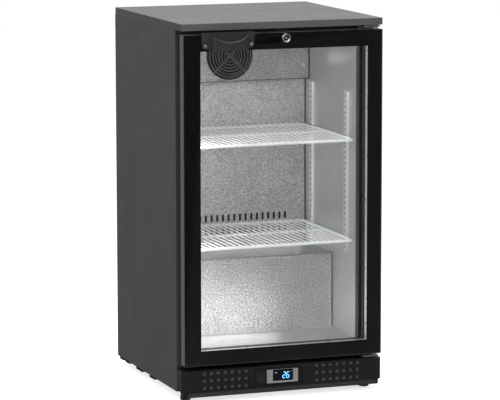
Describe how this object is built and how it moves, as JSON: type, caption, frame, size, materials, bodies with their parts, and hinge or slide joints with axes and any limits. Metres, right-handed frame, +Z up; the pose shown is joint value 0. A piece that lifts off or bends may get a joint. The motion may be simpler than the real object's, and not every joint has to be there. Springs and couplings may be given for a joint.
{
  "type": "under counter fridge",
  "caption": "Free-standing under counter fridge: black cabinet, hinged glass door with pull handle and lock, wire shelves, fan-cooled aluminium compartment and a kick panel with controls.",
  "frame": {"origin": "centre of the bounding box's footprint, on the floor under the feet", "axes": "+Z up, -Y out of the door, +X to the right as seen from the front"},
  "size_m": [0.5, 0.525, 0.89],
  "materials": {
    "black_plastic": "satin black",
    "black_sheet": "satin black powder coat, fine texture",
    "border_print": "black ceramic print",
    "chrome_lock": "polished",
    "compressor_black": "gloss black enamel",
    "copper": "drawn tube",
    "dark_plastic": "fine grain dark grey",
    "display": "gloss black",
    "filter_mesh": "woven grey mesh",
    "fin_aluminium": "plate fins",
    "foam": "rigid foam",
    "frame_aluminium": "satin grey anodised",
    "gasket_rubber": "matt black",
    "glass_clear": "clear tempered",
    "grey_bezel": "satin light grey",
    "grey_plastic": "satin mid grey",
    "grommet": "matt black",
    "key_grey": "satin grey",
    "lamp": "opal diffuser",
    "liner_aluminium": "embossed stucco",
    "nylon": "natural nylon",
    "shelf_coating": "white plastic coated wire",
    "spacer_aluminium": "bright extruded",
    "zinc_steel": "zinc plated"
  },
  "bodies": {
    "cabinet": {"worktop": "black_sheet", "top_back_panels": "black_sheet", "left_side_panel": "black_sheet", "right_side_panel": "black_sheet", "base_tray": "black_sheet", "front_sill": "black_sheet", "breaker_frame": "grey_plastic", "inner_liner": "liner_aluminium", "step_cover": "liner_aluminium", "duct_panel": "liner_aluminium", "evaporator_cover": "liner_aluminium", "fan_guard": "dark_plastic", "evaporator_fan_motor": "compressor_black", "evaporator_coil": "fin_aluminium", "drain_tray": "black_plastic", "temperature_probe": "copper", "led_lamp": "lamp", "shelf_strips": "liner_aluminium", "shelf_clips": "zinc_steel", "hinge_brackets": "zinc_steel", "kick_panel": "black_plastic", "dust_filter": "filter_mesh", "controller_body": "grey_bezel", "display_window": "display", "switch_frame": "dark_plastic", "insulation_foam": "foam", "machine_bulkhead": "zinc_steel", "compressor": "compressor_black", "compressor_mounts": "grommet", "condenser_coil": "fin_aluminium", "condenser_fan_motor": "compressor_black", "refrigerant_lines": "copper", "rear_grille": "black_sheet", "cord_gland": "grommet", "panel_screws": "zinc_steel"},
    "door": {"outer_glass": "glass_clear", "printed_border": "border_print", "door_frame": "frame_aluminium", "glass_spacer": "spacer_aluminium", "inner_glass": "glass_clear", "door_inner_frame": "black_plastic", "door_gasket": "gasket_rubber", "door_handle": "dark_plastic", "handle_screws": "zinc_steel", "lock_barrel": "chrome_lock", "hinge_bushes": "nylon"},
    "lock": {"lock_plug": "zinc_steel"},
    "rocker": {"power_rocker": "black_plastic"},
    "up_button": {"key_up": "key_grey"},
    "down_button": {"key_down": "key_grey"},
    "set_button": {"key_set": "key_grey"},
    "light_button": {"key_light": "key_grey"},
    "upper_rack": {"upper_shelf": "shelf_coating"},
    "lower_rack": {"lower_shelf": "shelf_coating"},
    "evaporator_fan": {"evaporator_fan_blade": "dark_plastic"},
    "condenser_fan": {"condenser_fan_blade": "dark_plastic"},
    "front_left_foot": {"foot_front_left": "black_plastic"},
    "front_right_foot": {"foot_front_right": "black_plastic"},
    "rear_left_foot": {"foot_rear_left": "black_plastic"},
    "rear_right_foot": {"foot_rear_right": "black_plastic"}
  },
  "joints": [
    {"name": "door_hinge", "type": "hinge", "parent": "cabinet", "child": "door", "pos_m": [0.238, -0.224, 0.475], "axis": [0, 0, 1], "range_deg": [0, 110]},
    {"name": "lock_turn", "type": "hinge", "parent": "door", "child": "lock", "pos_m": [0.0074, -0.23, 0.85], "axis": [0, 1, 0], "range_deg": [0, 90]},
    {"name": "rocker_tilt", "type": "hinge", "parent": "cabinet", "child": "rocker", "pos_m": [-0.056, -0.2335, 0.051], "axis": [1, 0, 0], "range_deg": [0, 14]},
    {"name": "up_key_press", "type": "slide", "parent": "cabinet", "child": "up_button", "axis": [0, 1, 0], "range_m": [0, 0.0008], "stiffness_N_per_m": 300, "springref_m": -0.001},
    {"name": "down_key_press", "type": "slide", "parent": "cabinet", "child": "down_button", "axis": [0, 1, 0], "range_m": [0, 0.0008], "stiffness_N_per_m": 300, "springref_m": -0.001},
    {"name": "set_key_press", "type": "slide", "parent": "cabinet", "child": "set_button", "axis": [0, 1, 0], "range_m": [0, 0.0008], "stiffness_N_per_m": 300, "springref_m": -0.001},
    {"name": "light_key_press", "type": "slide", "parent": "cabinet", "child": "light_button", "axis": [0, 1, 0], "range_m": [0, 0.0008], "stiffness_N_per_m": 300, "springref_m": -0.001},
    {"name": "upper_shelf_lift", "type": "slide", "parent": "cabinet", "child": "upper_rack", "axis": [0, 0, 1], "range_m": [0, 0.03]},
    {"name": "lower_shelf_lift", "type": "slide", "parent": "cabinet", "child": "lower_rack", "axis": [0, 0, 1], "range_m": [0, 0.03]},
    {"name": "evaporator_fan_spin", "type": "hinge", "parent": "cabinet", "child": "evaporator_fan", "pos_m": [0.001, 0.146, 0.774], "axis": [0, 1, 0], "continuous": true},
    {"name": "condenser_fan_spin", "type": "hinge", "parent": "cabinet", "child": "condenser_fan", "pos_m": [-0.18, 0.15, 0.139], "axis": [1, 0, 0], "continuous": true},
    {"name": "front_left_foot_screw", "type": "slide", "parent": "cabinet", "child": "front_left_foot", "axis": [0, 0, -1], "range_m": [0, 0.012]},
    {"name": "front_right_foot_screw", "type": "slide", "parent": "cabinet", "child": "front_right_foot", "axis": [0, 0, -1], "range_m": [0, 0.012]},
    {"name": "rear_left_foot_screw", "type": "slide", "parent": "cabinet", "child": "rear_left_foot", "axis": [0, 0, -1], "range_m": [0, 0.012]},
    {"name": "rear_right_foot_screw", "type": "slide", "parent": "cabinet", "child": "rear_right_foot", "axis": [0, 0, -1], "range_m": [0, 0.012]}
  ]
}
